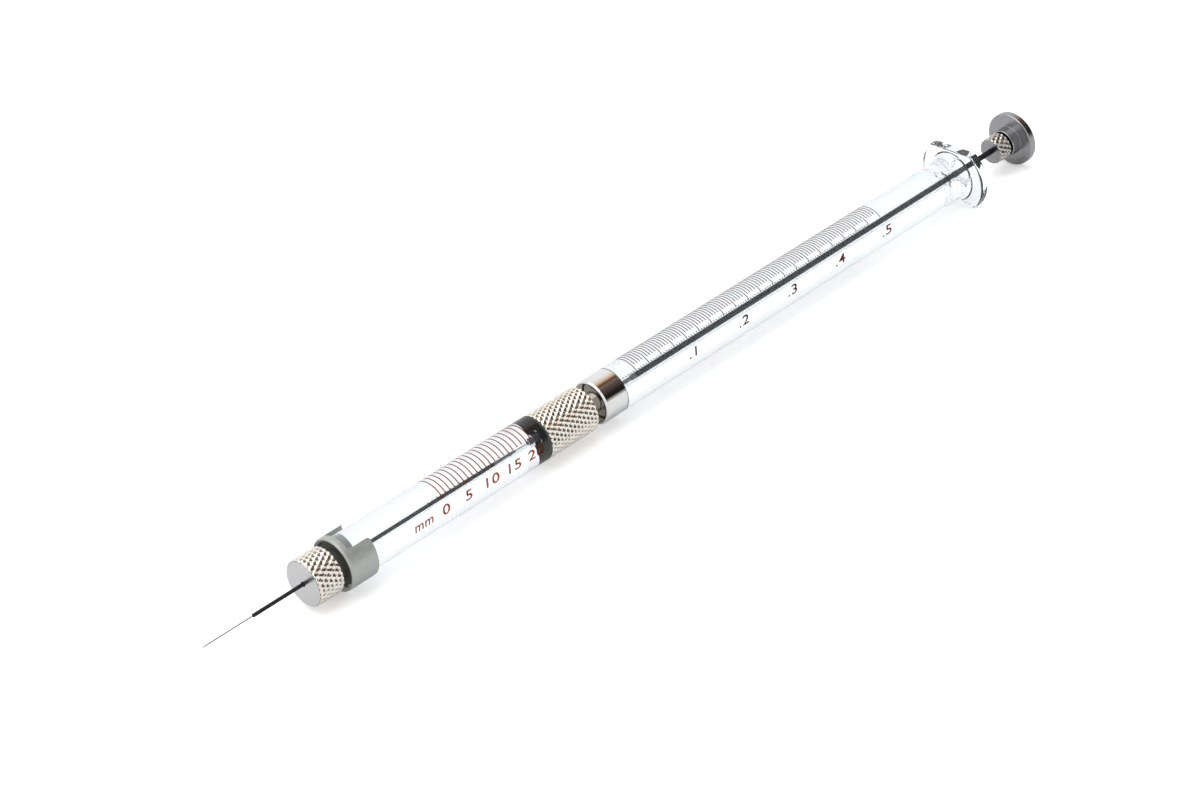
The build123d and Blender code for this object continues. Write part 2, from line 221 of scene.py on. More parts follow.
def held(profile, margin=0.03, longest=4.0):
    """The closed profile with more points on its long straights: one close to each end, so that smooth
    shading bends only at the roundings, and others in between, so that no face is very long. A straight
    of length d gets points at the shares margin / d, even steps, and 1 - margin / d."""
    rows = []
    for here, there in zip(profile, np.roll(profile, -1, 0)):
        length = np.hypot(*(there - here))
        share = np.zeros(1)
        if length > 4 * margin:
            even = np.linspace(margin / length, 1 - margin / length, max(2, int(length / longest) + 1))
            share = np.concatenate([[0.0], even])
        rows.append(here + share[:, None] * (there - here))
    return np.concatenate(rows)


def around(profile, count=AROUND):
    """The surface of revolution of a (station, radius) profile: each point goes round the axis to
    (station, radius * sin a, radius * cos a) for count equal angles a."""
    angle = np.linspace(0, 2 * np.pi, count, endpoint=False)
    station, radius = profile[:, 0:1], profile[:, 1:2]
    return np.stack([station + 0 * angle, radius * np.sin(angle), radius * np.cos(angle)], -1)


def grid_faces(rows, columns, close_rows, close_columns, start=0):
    """The quads between neighbouring points of a rows by columns grid, closed where asked."""
    r = np.arange(rows if close_rows else rows - 1)[:, None]
    c = np.arange(columns if close_columns else columns - 1)[None]
    r2, c2 = (r + 1) % rows, (c + 1) % columns
    corners = [r * columns + c, r2 * columns + c, r2 * columns + c2, r * columns + c2]
    return np.stack(np.broadcast_arrays(*corners), -1).reshape(-1, 4) + start


def placed(points):
    """Points in millimetres from the sleeve's front end and the axis, in the row frame in metres."""
    return points * MM + np.array([START, 0, AXIS_HEIGHT])


def make_piece(name, points, faces, body, material, replaces=(), sharp=40):
    """A mesh piece from placed points and quads. Doubles are merged, normals point outwards, and edges
    sharper than the given angle in degrees stay sharp."""
    mesh = bpy.data.meshes.new(name)
    mesh.from_pydata(placed(points).tolist(), [], np.asarray(faces).tolist())
    work = bmesh.new()
    work.from_mesh(mesh)
    bmesh.ops.remove_doubles(work, verts=work.verts, dist=1e-7)
    bmesh.ops.dissolve_degenerate(work, dist=1e-8, edges=work.edges)
    bmesh.ops.recalc_face_normals(work, faces=work.faces)
    work.to_mesh(mesh)
    work.free()
    mesh.shade_smooth()
    mesh.set_sharp_from_angle(angle=np.radians(sharp))
    piece = bpy.data.objects.new(name, mesh)
    bpy.context.scene.collection.objects.link(piece)
    piece.data.materials.append(material)
    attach(piece, body)
    if replaces:
        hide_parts(*replaces)


def turned(name, corners, body, material, replaces, steps=7):
    """A turned piece: its rounded closed profile carried round the axis."""
    points = around(held(rounded(corners, steps)))
    faces = grid_faces(*points.shape[:2], True, True)
    make_piece(name, points.reshape(-1, 3), faces, body, material, replaces)


def knurled(name, start, end, od, step, front_chamfer, rear_chamfer, inside, body, slot, material, replaces):
    """A diamond-knurled piece. With u = diamonds around * angle / full turn and w = station / (2 * step),
    the two groove families lie where u + w and u - w are whole numbers. The skin's depth is the groove
    depth times the mean of |2 frac(u + w) - 1| and |2 frac(u - w) - 1|, so that it is deepest where two
    grooves cross, and the two end chamfers cut it where their cones are smaller. inside holds the
    (station, radius) points of the face, bore and back."""
    knurl = bpy.context.scene.syringe_knurl
    diamonds = round(np.pi * od / knurl.pitch)
    columns = diamonds * FINENESS
    station = np.append(np.arange(start, end - 0.01, 2 * step / FINENESS), end)[:, None]
    angle = np.linspace(0, 2 * np.pi, columns, endpoint=False)[None]
    u, w = diamonds * angle / (2 * np.pi), (station - start) / (2 * step)
    one = np.abs(2 * ((u + w) % 1) - 1)
    other = np.abs(2 * ((u - w) % 1) - 1)
    skin = od / 2 - knurl.depth * (one + other) / 2
    cone = np.minimum(od / 2 - front_chamfer + station - start, od / 2 - rear_chamfer + end - station)
    radius = np.minimum(skin, cone)
    outside = np.stack([station + 0 * angle, radius * np.sin(angle), radius * np.cos(angle)], -1)
    points = np.concatenate([outside, around(np.array(inside, float), columns)])
    faces = grid_faces(*points.shape[:2], True, True)
    make_piece(name, points.reshape(-1, 3), faces, body, material, replaces, 24)


# ================= materials =================


def new_material(name):
    """An empty node material with its Principled shader, as (material, tree, shader)."""
    material = bpy.data.materials.new(name)
    material.use_nodes = True
    tree = material.node_tree
    tree.nodes.clear()
    shader = tree.nodes.new("ShaderNodeBsdfPrincipled")
    output = tree.nodes.new("ShaderNodeOutputMaterial")
    tree.links.new(shader.outputs["BSDF"], output.inputs["Surface"])
    return material, tree, shader


def node(tree, kind, inputs=(), **settings):
    """A node of the given kind with its settings, its inputs set to values or linked to sockets."""
    made = tree.nodes.new("ShaderNode" + kind)
    for key, value in settings.items():
        setattr(made, key, value)
    for key, value in dict(inputs).items():
        if isinstance(value, bpy.types.NodeSocket):
            tree.links.new(value, made.inputs[key])
        else:
            made.inputs[key].default_value = value
    return made


def axis_coordinates(tree):
    """Sockets of the distance along the axis and the distance from it, from Object coordinates."""
    where = node(tree, "TexCoord").outputs["Object"]
    centred = node(tree, "Mapping", {"Vector": where, "Location": (-START, 0, -AXIS_HEIGHT)},
                   vector_type="POINT")
    parts = node(tree, "SeparateXYZ", {"Vector": centred.outputs["Vector"]})
    flat = node(tree, "CombineXYZ", {"Y": parts.outputs["Y"], "Z": parts.outputs["Z"]})
    away = node(tree, "VectorMath", {0: flat.outputs["Vector"]}, operation="LENGTH")
    return centred.outputs["Vector"], parts.outputs["X"], away.outputs["Value"]


def ramp(tree, factor, stops):
    """A colour ramp with (position, colour) stops."""
    made = node(tree, "ValToRGB", {"Fac": factor})
    elements = made.color_ramp.elements
    elements[0].position, elements[0].color = stops[0][0], (*stops[0][1], 1)
    elements[1].position, elements[1].color = stops[-1][0], (*stops[-1][1], 1)
    for position, colour in stops[1:-1]:
        elements.new(position).color = (*colour, 1)
    return made.outputs["Color"]


def noise(tree, where, scale, detail, roughness=0.5):
    """The value of a noise texture."""
    made = node(tree, "TexNoise", {"Vector": where, "Scale": scale, "Detail": detail, "Roughness": roughness})
    return made.outputs["Fac"]


def roughen(tree, shader, factor, bounds, limits):
    """Let the shader's roughness go from limits[0] to limits[1] while the factor crosses its bounds."""
    rough = node(tree, "MapRange", {"Value": factor, "From Min": bounds[0], "From Max": bounds[1],
                                    "To Min": limits[0], "To Max": limits[1]})
    tree.links.new(rough.outputs["Result"], shader.inputs["Roughness"])


def emboss(tree, shader, height, strength, distance):
    """Let a height stand out of the shader's surface, by shading alone."""
    bump = node(tree, "Bump", {"Height": height, "Strength": strength, "Distance": distance})
    tree.links.new(bump.outputs["Normal"], shader.inputs["Normal"])


def scaled(colour, share):
    """A colour made darker or lighter by a share."""
    return tuple(min(1.0, c * share) for c in colour)


def mottled(tree, factor, colour, low, high):
    """A colour that goes from low to high times its own lightness as a noise factor rises."""
    return ramp(tree, factor, [(0.3, scaled(colour, low)), (0.7, scaled(colour, high))])


def turned_metal(name, colour, roughness, ring_depth, spread=0.12, metallic=1.0, face=None, station=0.0):
    """Turned metal. Fine rings follow the tool round the axis: noise read at (station, distance from the
    axis), the same all the way round. Slow blotches shift colour and roughness a little. Up to the given
    station the piece can have a faced front of its own colour."""
    material, tree, shader = new_material(name)
    shader.inputs["Metallic"].default_value = metallic
    where, along, away = axis_coordinates(tree)
    line = node(tree, "CombineXYZ", {"X": along, "Y": away})
    rings = noise(tree, line.outputs["Vector"], 24000.0, 3.0, 0.6)
    patches = noise(tree, where, 900.0, 4.0, 0.55)
    tone = mottled(tree, patches, colour, 1 - spread, 1 + spread)
    if face:
        is_front = node(tree, "Math", {0: along, 1: station * MM}, operation="LESS_THAN")
        tone = node(tree, "MixRGB", {"Fac": is_front.outputs["Value"], "Color1": tone,
                                     "Color2": (*face, 1)}).outputs["Color"]
    tree.links.new(tone, shader.inputs["Base Color"])
    roughen(tree, shader, patches, (0.25, 0.75), (roughness * 0.75, roughness * 1.3))
    emboss(tree, shader, rings, ring_depth, 0.00002)
    return material


def knurl_metal(name, colour, face, station, od):
    """Rolled nickel with a fine grain on its flanks, with painted shade at the bottom of its grooves that
    deepens by how far the point lies below the crests. Up to the given station the piece has its plain faced
    front, which has its own colour."""
    groove = bpy.context.scene.syringe_knurl.depth
    material, tree, shader = new_material(name)
    shader.inputs["Metallic"].default_value = 1.0
    where, along, away = axis_coordinates(tree)
    grain = noise(tree, where, 5200.0, 4.0, 0.6)
    soil = noise(tree, where, 700.0, 3.0)
    crest = mottled(tree, soil, colour, 0.92, 1.06)
    height = node(tree, "MapRange", {"Value": away, "From Min": (od / 2 - groove) * MM,
                                     "From Max": od / 2 * MM})
    # groove_shade: painted shade, darker the deeper a point lies in the grooves, multiplied into the skin's
    # colour
    groove_shade = ramp(tree, height.outputs["Result"], [(0.0, (0.10, 0.075, 0.055)), (0.15, (0.25, 0.2, 0.16)),
                                                  (0.36, (0.9, 0.9, 0.88)), (0.8, (1.0, 1.0, 1.0))])
    skin = node(tree, "MixRGB", {"Fac": 1.0, "Color1": crest, "Color2": groove_shade}, blend_type="MULTIPLY")
    front = mottled(tree, soil, face, 0.96, 1.03)
    is_front = node(tree, "Math", {0: along, 1: station * MM}, operation="LESS_THAN")
    tone = node(tree, "MixRGB", {"Fac": is_front.outputs["Value"], "Color1": skin.outputs["Color"],
                                 "Color2": front})
    tree.links.new(tone.outputs["Color"], shader.inputs["Base Color"])
    roughen(tree, shader, grain, (0.3, 0.7), (0.14, 0.30))
    emboss(tree, shader, grain, 0.35, 0.00003)
    return material


def drawn_metal(name, colour, roughness, metallic=1.0, specular=0.5):
    """Drawn or coated wire and rod: faint lines run along the axis, because the noise is stretched
    along the station, and the tone drifts slowly."""
    material, tree, shader = new_material(name)
    shader.inputs["Metallic"].default_value = metallic
    shader.inputs["Specular IOR Level"].default_value = specular
    where = axis_coordinates(tree)[0]
    stretched = node(tree, "Mapping", {"Vector": where, "Scale": (0.02, 1.0, 1.0)})
    lines = noise(tree, stretched.outputs["Vector"], 16000.0, 3.0)
    drift = noise(tree, where, 260.0, 3.0)
    tone = mottled(tree, drift, colour, 0.85, 1.2)
    tree.links.new(tone, shader.inputs["Base Color"])
    roughen(tree, shader, lines, (0.3, 0.7), (roughness * 0.8, roughness * 1.25))
    emboss(tree, shader, lines, 0.15, 0.00001)
    return material


def clear_glass(name):
    """Clear drawn glass with faint draw lines along it. Lamps shine through it, dimmed by the shadow
    tint, so that the bench under it isn't black."""
    settings = bpy.context.scene.syringe_glass
    material, tree, shader = new_material(name)
    shader.inputs["IOR"].default_value = settings.bend
    shader.inputs["Transmission Weight"].default_value = settings.clear
    shader.inputs["Base Color"].default_value = (*settings.tint, 1)
    where = axis_coordinates(tree)[0]
    stretched = node(tree, "Mapping", {"Vector": where, "Scale": (0.05, 1.0, 1.0)})
    lines = noise(tree, stretched.outputs["Vector"], 420.0, 2.0)
    roughen(tree, shader, lines, (0.35, 0.75), (0.0, 0.012))
    through = node(tree, "BsdfTransparent", {"Color": (*settings.shade, 1)})
    path = node(tree, "LightPath")
    either = node(tree, "MixShader", {0: path.outputs["Is Shadow Ray"], 1: shader.outputs["BSDF"],
                                      2: through.outputs["BSDF"]})
    output = next(n for n in tree.nodes if n.type == "OUTPUT_MATERIAL")
    tree.links.new(either.outputs["Shader"], output.inputs["Surface"])
    return material


def print_ink(name, colour):
    """Fired ceramic ink with a slightly uneven cover and tiny pinholes of lighter tone. Light comes through
    it hardly bent, so that it looks darker over dark metal than over the pale bench."""
    material, tree, shader = new_material(name)
    where = axis_coordinates(tree)[0]
    cover = noise(tree, where, 2600.0, 3.0)
    tone = ramp(tree, cover, [(0.35, scaled(colour, 0.85)), (0.62, colour),
                              (0.8, scaled(colour, 1.5))])
    tree.links.new(tone, shader.inputs["Base Color"])
    shader.inputs["Transmission Weight"].default_value = 0.8
    shader.inputs["IOR"].default_value = 1.05
    roughen(tree, shader, cover, (0.3, 0.7), (0.35, 0.55))
    emboss(tree, shader, cover, 0.2, 0.00001)
    return material


def seal_plastic(name):
    """Soft white seal plastic with a faint waxy mottle."""
    material, tree, shader = new_material(name)
    where = axis_coordinates(tree)[0]
    mottle = noise(tree, where, 1800.0, 3.0)
    tone = ramp(tree, mottle, [(0.3, (0.80, 0.79, 0.75)), (0.7, (0.88, 0.87, 0.84))])
    tree.links.new(tone, shader.inputs["Base Color"])
    roughen(tree, shader, mottle, (0.0, 1.0), (0.4, 0.6))
    return material


def shared(name, make, *values):
    """The material of that name, made once."""
    return bpy.data.materials.get(name) or make(name, *values)


# The plain metals: how each is made, the setting that holds its colour, and the maker's other values.
PLAIN_METALS = {
    "mirror_nickel": (turned_metal, "nickel", 0.07, 0.05, 0.03),
    "satin_steel": (turned_metal, "satin", 0.42, 0.35, 0.06, 0.6),
    "blackened_steel": (turned_metal, "socket", 0.6, 0.2, 0.1, 0.2),
    "dark_turned_steel": (turned_metal, "dark", 0.21, 0.2, 0.05),
    "drawn_steel": (drawn_metal, "needle", 0.28),
    "darkened_steel": (drawn_metal, "sleeve", 0.5, 0.0, 0.15),
    "shank_steel": (drawn_metal, "shank", 0.4, 0.3, 0.3),
    "rod_coat": (drawn_metal, "rod", 0.55, 0.0, 0.12),
}


def plain_metal(name):
    """One of the plain metals, made once."""
    make, setting, *values = PLAIN_METALS[name]
    return shared(name, make, tuple(getattr(bpy.context.scene.syringe_metal, setting)), *values)


# ================= pieces =================


class BuildGlass(bpy.types.Operator):
    """Make the barrel with its flange and funnel mouth, and the guide tube, as clear glass"""

    bl_idname = "syringe.build_glass"
    bl_label = "Glass"

    def execute(self, context):
        settings = context.scene.syringe_glass
        glass = shared("clear_glass", clear_glass)
        self.barrel(settings, glass)
        self.guide(glass)
        return {"FINISHED"}

    def barrel(self, settings, glass):
        """The barrel's profile goes round the axis. In the flange the radius is the smaller of the rim's
        and the flats' distance / |cos a|, where a is the angle from up, blended by the rounding."""
        front, rear = span_of("barrel")
        low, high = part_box("barrel")
        rim = (high.y - low.y) / 2 / MM
        flat = (high.z - low.z) / 2 / MM
        body, bore, spigot = BARREL_RADIUS, settings.bore / 2, 3.43
        shoulder = station_of("barrel_ferrule", 1) + 0.05
        thick, flare, rise, round_ = 1.9, 2.6, 0.85, settings.flange_round
        flange = rear - thick
        slope = np.linspace(0, 2 * np.arctan2(rise, flare), 17)
        arc = flare / np.sin(slope[-1])
        neck = np.stack([flange - flare + arc * np.sin(slope), body + arc * (1 - np.cos(slope))], -1)
        edge = rounded([
            (flange, body + rise, 0), (flange, rim, round_), (rear, rim, round_), (rear, 1.8, 0.35),
            (rear - 3.0, bore, 0.3), (front, bore, 0.1), (front, spigot, 0.2), (shoulder, spigot, 0.03),
            (shoulder, body, 0.06), (flange - flare, body, 0)], 9)
        profile = held(np.concatenate([edge[:-1], neck[:-1]]))
        flat_ends = np.concatenate([s * np.arccos(flat / rim) + np.array([0, np.pi]) for s in (1, -1)])
        dense = np.concatenate([np.linspace(-1, 1, 25)[:-1] * 0.13 + c for c in flat_ends])
        angle = np.unique(np.round(np.concatenate([np.linspace(0, 2 * np.pi, 240, endpoint=False),
                                                   dense % (2 * np.pi)]), 5))
        station, radius = profile[:, 0:1], profile[:, 1:2]
        inset = np.clip(round_ * 0.55 - np.minimum(np.abs(station - flange), np.abs(rear - station)), 0, 1)
        limit = (flat - inset ** 2 / (round_ * 1.1)) / np.maximum(np.abs(np.cos(angle))[None], 1e-3)
        blend = 0.12
        soft = np.where(radius > flat * 0.9,
                        -blend * np.log(np.exp(-radius / blend) + np.exp(-limit / blend) + 1e-300), radius)
        soft = np.minimum(soft, radius)
        points = np.stack([station + 0 * angle[None], soft * np.sin(angle), soft * np.cos(angle)], -1)
        faces = grid_faces(*points.shape[:2], True, True)
        make_piece("glass_barrel", points.reshape(-1, 3), faces, "barrel", glass,
                   ["barrel"], 35)

    def guide(self, glass):
        """A plain tube with a wider seat for the socket's spigot at its rear end."""
        front, rear = span_of("guide_tube")
        skin, bore, socket = diameter_of("guide_tube") / 2, 0.37, 0.65
        turned("glass_guide_tube", [
            (front, bore, 0.05), (front, skin, 0.15), (rear, skin, 0.15), (rear, socket, 0.04),
            (rear - 2.45, socket, 0.04), (rear - 2.45, bore, 0.03)],
            "needle_unit", glass, ["guide_tube"])


class BuildKnurls(bpy.types.Operator):
    """Make the three diamond-knurled pieces: the long hub, the front lock nut and the plunger's nut"""

    bl_idname = "syringe.build_knurls"
    bl_label = "Knurled pieces"

    def execute(self, context):
        colours = context.scene.syringe_metal
        plunger_skin = scaled(colours.knurl, 0.62)
        hub = ("knurled_hub", "hub", "hub_knurl", "hub_nickel", colours.knurl, colours.knurl)
        lock_nut = ("front_lock_nut", "lock_nut", "lock_nut_knurl", "lock_nut_nickel", colours.knurl,
                    colours.face)
        clamp = ("plunger_nut", "plunger_clamp", "plunger_nut_knurl", "plunger_nut_nickel", plunger_skin,
                 colours.dark)
        # The face's depth, the diameter, half a diamond's length, the front and the rear chamfer, and
        # where the wide bore ends, with its radius and the narrow bore's.
        self.knurl(*hub, 0.0, 8.24, 0.77, (0.11, 0.22), 2.0, 3.45, 2.45)
        self.knurl(*lock_nut, 0.03, 8.36, 0.86, (0.28, 0.14), 1.2, 2.65, 0.49)
        self.knurl(*clamp, 0.03, 4.95, 0.8, (0.2, 0.1), 0.8, 1.65, 0.55)
        return {"FINISHED"}

    def knurl(self, cad, body, piece, finish, skin, face, depth, od, step, chamfers, root, wide, narrow):
        """One knurled piece in place of a CAD node, with its plain faced front and its two bores."""
        start, end = span_of(cad)
        metal = shared(finish, knurl_metal, tuple(skin), tuple(face), start + depth, od)
        knurled(piece, start, end, od, step, *chamfers,
                [(end, wide), (start + root, wide), (start + root, narrow), (start, narrow)],
                body, "knurled_nickel", metal, [cad])


class BuildTurned(bpy.types.Operator):
    """Make the turned pieces: ferrule, neck, tube socket and button"""

    bl_idname = "syringe.build_turned"
    bl_label = "Turned pieces"

    def execute(self, context):
        front, rear = span_of("barrel_ferrule")
        colours = context.scene.syringe_metal
        # The face up to front + 0.02 gets the darker mirrored colour: painted reflection and shade on the same
        # polished nickel
        metal = shared("ferrule_nickel", turned_metal, tuple(colours.nickel), 0.07, 0.05, 0.03, 1.0,
                       tuple(colours.mirrored), front + 0.02)
        turned("polished_ferrule", [
            (front, 0.40, 0.05), (front, 4.0, 0.42), (rear, 4.0, 0.1), (rear, 3.45, 0.04),
            (front + 0.9, 3.45, 0.1), (front + 0.9, 0.40, 0.05)],
            "barrel", metal, ["barrel_ferrule"])
        front, rear = span_of("union_stud")
        neck = station_of("knurled_hub", 1) + 0.05
        turned("polished_neck", [
            (front, 0.40, 0.02), (front, 3.40, 0.1), (neck, 3.40, 0.1), (neck, 1.9, 0.05),
            (rear, 1.9, 0.03), (rear, 0.40, 0.02)],
            "barrel", plain_metal("mirror_nickel"), ["union_stud"])
        front, rear = span_of("tube_socket")
        face = station_of("guide_tube", 1)
        turned("dark_socket", [
            (front, 0.37, 0.03), (front, 0.6, 0.05), (face, 0.6, 0.05), (face, 4.05, 0.06),
            (face + 0.35, 4.05, 0.06), (face + 0.35, 2.4, 0.03), (rear, 2.4, 0.05), (rear, 0.14, 0.02),
            (face + 4.05, 0.14, 0.02), (face + 4.05, 0.37, 0.02)],
            "needle_unit", plain_metal("blackened_steel"), ["tube_socket"])
        self.button()
        return {"FINISHED"}

    def button(self):
        """From the front: the stud for the clamping nut, a wider step, and the disc with its dished end."""
        stud, end = span_of("plunger_button")
        disc = end - 1.4
        boss = disc - 1.98
        turned("turned_button", [
            (stud, 1.3, 0.02), (stud, 1.6, 0.1), (boss, 1.6, 0.03), (boss, 2.6, 0.14), (disc, 2.6, 0.07),
            (disc, 4.95, 0.2), (end, 4.95, 0.22), (end, 4.3, 0.1), (end - 0.15, 3.6, 0.3),
            (end - 0.2, 0.002, 0), (boss + 1.35, 0.002, 0), (boss + 1.35, 0.52, 0.02),
            (stud + 1.0, 0.52, 0.02), (stud + 0.25, 1.3, 0.02)],
            "plunger", plain_metal("dark_turned_steel"), ["plunger_button"])


class BuildCollar(bpy.types.Operator):
    """Make the satin collar: a ring with two fingers that grip the glass tube, and two cut-outs"""

    bl_idname = "syringe.build_collar"
    bl_label = "Front collar"

    def execute(self, context):
        """Each quarter turn is split at the cut-out's side, y = half the slot, so that the side is flat:
        at radius r the split lies at the angle asin(half slot / r) from up. The rear end follows the
        slot's rounded root, then the finger's rounded corner, as quarter circles of the distance from
        the split plane."""
        front = station_of("front_collar", 0)
        root, tip = station_of("guide_tube", 0), station_of("front_collar", 1)
        half, fillet, corner = 3.1, 0.35, 0.45
        inner, outer, lip = diameter_of("guide_tube") / 2 + 0.02, 4.75, 0.28
        rings = np.array([(front + 0.39, inner), (front, outer - lip), (front + 0.03, outer - lip + 0.12),
                          (front + 0.13, outer - 0.05), (front + 0.3, outer)])
        radii = np.concatenate([rings[:, 1], [outer] * 3, [outer - 0.03, inner + 0.03], [inner] * 3])
        back = np.array([0.15, 0.05, 0, 0, 0.05, 0.15])
        quarter_count = 49
        turn = np.empty((len(radii), 4 * quarter_count))
        rear = np.empty((len(radii), 4 * quarter_count))
        for row, radius in enumerate(radii):
            split = np.arcsin(half / radius)
            low = np.linspace(0, 1, 25) ** 0.6 * split
            high = split + (np.pi / 2 - split) * np.linspace(0, 1, 24) ** 1.5
            angles = np.concatenate([low, high])
            side = radius * np.sin(angles)
            in_gap = np.arange(quarter_count) < 25
            near_gap = np.clip((side - (half - fillet)) / fillet, 0, 1)
            near_finger = np.clip(1 - (side - half) / corner, 0, 1)
            end = np.where(in_gap, root + fillet * (1 - np.sqrt(1 - near_gap ** 2)),
                           tip - corner * (1 - np.sqrt(1 - near_finger ** 2)))
            turn[row] = np.concatenate([angles, np.pi - angles[::-1], np.pi + angles, 2 * np.pi - angles[::-1]])
            rear[row] = np.concatenate([end, end[::-1], end, end[::-1]])
        station = np.empty_like(turn)
        station[:5] = rings[:, 0:1]
        station[[5, -1]] = front + 0.6
        station[6:-1] = rear[6:-1] - back[:, None]
        r = radii[:, None]
        points = np.stack([station, r * np.sin(turn), r * np.cos(turn)], -1)
        faces = grid_faces(*points.shape[:2], True, True)
        make_piece("collar_with_fingers", points.reshape(-1, 3), faces, "needle_unit",
                   plain_metal("satin_steel"), ["front_collar"], 30)
        return {"FINISHED"}


class BuildRods(bpy.types.Operator):
    """Make the long thin pieces: plunger rod and tip, needle, its shank, the sleeve and its rear bush"""

    bl_idname = "syringe.build_rods"
    bl_label = "Needle, sleeve and rod"

    def execute(self, context):
        skin = 0.5
        front, rear = span_of("plunger_rod")
        turned("black_rod", [
            (front, WIRE_HOLE, 0), (front, skin, 0.02), (rear, skin, 0.1), (rear, WIRE_HOLE, 0)],
            "plunger", plain_metal("rod_coat"), ["plunger_rod"], 5)
        front, rear = span_of("rod_tip")
        turned("ground_rod_tip", [
            (front, WIRE_HOLE, 0), (front, skin, 0.12), (rear, skin, 0.01), (rear, WIRE_HOLE, 0)],
            "plunger", shared("ground_tip", drawn_metal, (0.13, 0.14, 0.125), 0.4, 0.3, 0.3),
            ["rod_tip"], 5)
        front, rear = span_of("needle_sleeve")
        turned("dark_sleeve", [
            (front, 0.21, 0.02), (front, 0.32, 0.06), (rear, 0.32, 0.03), (rear, 0.21, 0.02)],
            "sleeve", plain_metal("darkened_steel"), ["needle_sleeve"], 5)
        shank = plain_metal("shank_steel")
        front, rear = span_of("sleeve_bush")
        join = station_of("needle_sleeve", 1)
        turned("tapered_bush", [
            (front, 0.135, 0.01), (front, 0.2, 0.01), (join, 0.2, 0.01), (join, 0.3, 0.04),
            (rear, 0.23, 0.05), (rear, 0.135, 0.01)],
            "sleeve", shank, ["sleeve_bush"], 5)
        front, rear = span_of("needle_shank")
        turned("needle_shank_tube", [
            (front, 0.125, 0.01), (front, 0.35, 0.06), (rear, 0.35, 0.06), (rear, 0.125, 0.01)],
            "needle_unit", shank, ["needle_shank"], 5)
        self.needle()
        return {"FINISHED"}

    def needle(self):
        """A tube with a bevelled front: round the axis, each front point lies further back the higher it
        is, station = tip + bevel length * (1 + radius cos a / outer radius) / 2."""
        tip, rear = span_of("needle")
        skin, bore = diameter_of("needle") / 2, 0.065
        bevel = 2 * skin / np.tan(np.radians(22))
        behind = tip + 1.5
        profile = np.array([
            (tip, bore), (tip, skin), (behind, skin), (rear, skin), (rear, bore), (behind, bore)])
        points = around(profile, 48)
        points[:2, :, 0] += bevel * (1 + points[:2, :, 2] / skin) / 2
        faces = grid_faces(*points.shape[:2], True, True)
        make_piece("bevelled_needle", points.reshape(-1, 3), faces, "needle_unit",
                   plain_metal("drawn_steel"), ["needle"], 30)


class DressInner(bpy.types.Operator):
    """Give the pieces inside, which keep their own solids, their finishes"""

    bl_idname = "syringe.dress_inner"
    bl_label = "Inner pieces"

    def execute(self, context):
        finishes = {
            # stud_steel is nearly black: a dark finish, made darker still as painted shade for the recess
            # behind the collar's lip
            "collet_stud": shared("stud_steel", drawn_metal, (0.11, 0.112, 0.095), 0.5, 0.2, 0.3),
            "lock_collet": shared("collet_steel", turned_metal, (0.12, 0.12, 0.12), 0.35, 0.3),
            "rod_collet": plain_metal("satin_steel"),
            "swivel_bush": plain_metal("satin_steel"),
            "needle_seal": shared("seal_plastic", seal_plastic),
            "plunger_wire": plain_metal("drawn_steel"),
        }
        for name, finish in finishes.items():
            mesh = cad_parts[name].data
            mesh.materials.clear()
            mesh.materials.append(finish)
        return {"FINISHED"}


# ================= printed scales =================


def arc_bars(stations, width, radius, film, first, last, steps=24):
    """Flat bars of ink bent round a glass tube. Each bar is a closed strip: at every angle between its
    first and last angle from up, its four corners lie at station +- width / 2 and at the glass's
    radius or that radius plus the ink's thickness."""
    share = np.linspace(0, 1, steps)
    angle = first[:, None] + (last - first)[:, None] * share[None]
    along = np.array([-1, 1, 1, -1]) * width / 2
    out = radius + np.array([0.0, 0.0, 1.0, 1.0]) * film + INK_GAP
    station = stations[:, None, None] + along + 0 * angle[..., None]
    y, z = -out * np.sin(angle)[..., None], out * np.cos(angle)[..., None]
    points = np.stack([station, y, z], -1).reshape(-1, 3)
    tube = grid_faces(steps, 4, False, True)
    caps = np.array([[0, 1, 2, 3], [4 * steps - 1, 4 * steps - 2, 4 * steps - 3, 4 * steps - 4]])
    one = np.concatenate([tube, caps])
    faces = (one[None] + (np.arange(len(stations)) * 4 * steps)[:, None, None]).reshape(-1, 4)
    return points, faces


def numerals(name, marks, height, start_angle, radius, film, body, material):
    """Plain numerals bent round a glass tube. marks are (text, station of its middle, stretch along) rows.
    A text's flat mesh goes to station = middle + stretch * x + slant * y, and to the angle from up
    = start angle - y / radius, with its thickness outwards."""
    bm = bmesh.new()
    for text, middle, stretch in marks:
        curve = bpy.data.curves.new("numeral", "FONT")
        curve.body, curve.size = text, height * LETTER_SIZE
        curve.align_x, curve.resolution_u, curve.space_character = "CENTER", 6, LETTER_SPACING
        curve.extrude, curve.offset = film / 2, height * LETTER_WEIGHT
        holder = bpy.data.objects.new("numeral", curve)
        bpy.context.scene.collection.objects.link(holder)
        bpy.context.view_layer.update()
        mesh = bpy.data.meshes.new_from_object(holder.evaluated_get(bpy.context.evaluated_depsgraph_get()))
        co = np.empty(len(mesh.vertices) * 3, np.float32)
        mesh.vertices.foreach_get("co", co)
        co = co.reshape(-1, 3).astype(float)
        angle = start_angle - co[:, 1] / radius
        out = radius + INK_GAP + film / 2 + co[:, 2]
        station = middle + stretch * co[:, 0] + SLANT * co[:, 1]
        bent = placed(np.stack([station, -out * np.sin(angle), out * np.cos(angle)], -1))
        mesh.vertices.foreach_set("co", bent.astype(np.float32).ravel())
        bm.from_mesh(mesh)
        bpy.data.objects.remove(holder)
        bpy.data.curves.remove(curve)
        bpy.data.meshes.remove(mesh)
    bmesh.ops.remove_doubles(bm, verts=bm.verts, dist=1e-7)
    bmesh.ops.recalc_face_normals(bm, faces=bm.faces)
    mesh = bpy.data.meshes.new(name)
    bm.to_mesh(mesh)
    bm.free()
    piece = bpy.data.objects.new(name, mesh)
    bpy.context.scene.collection.objects.link(piece)
    piece.data.materials.append(material)
    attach(piece, body)


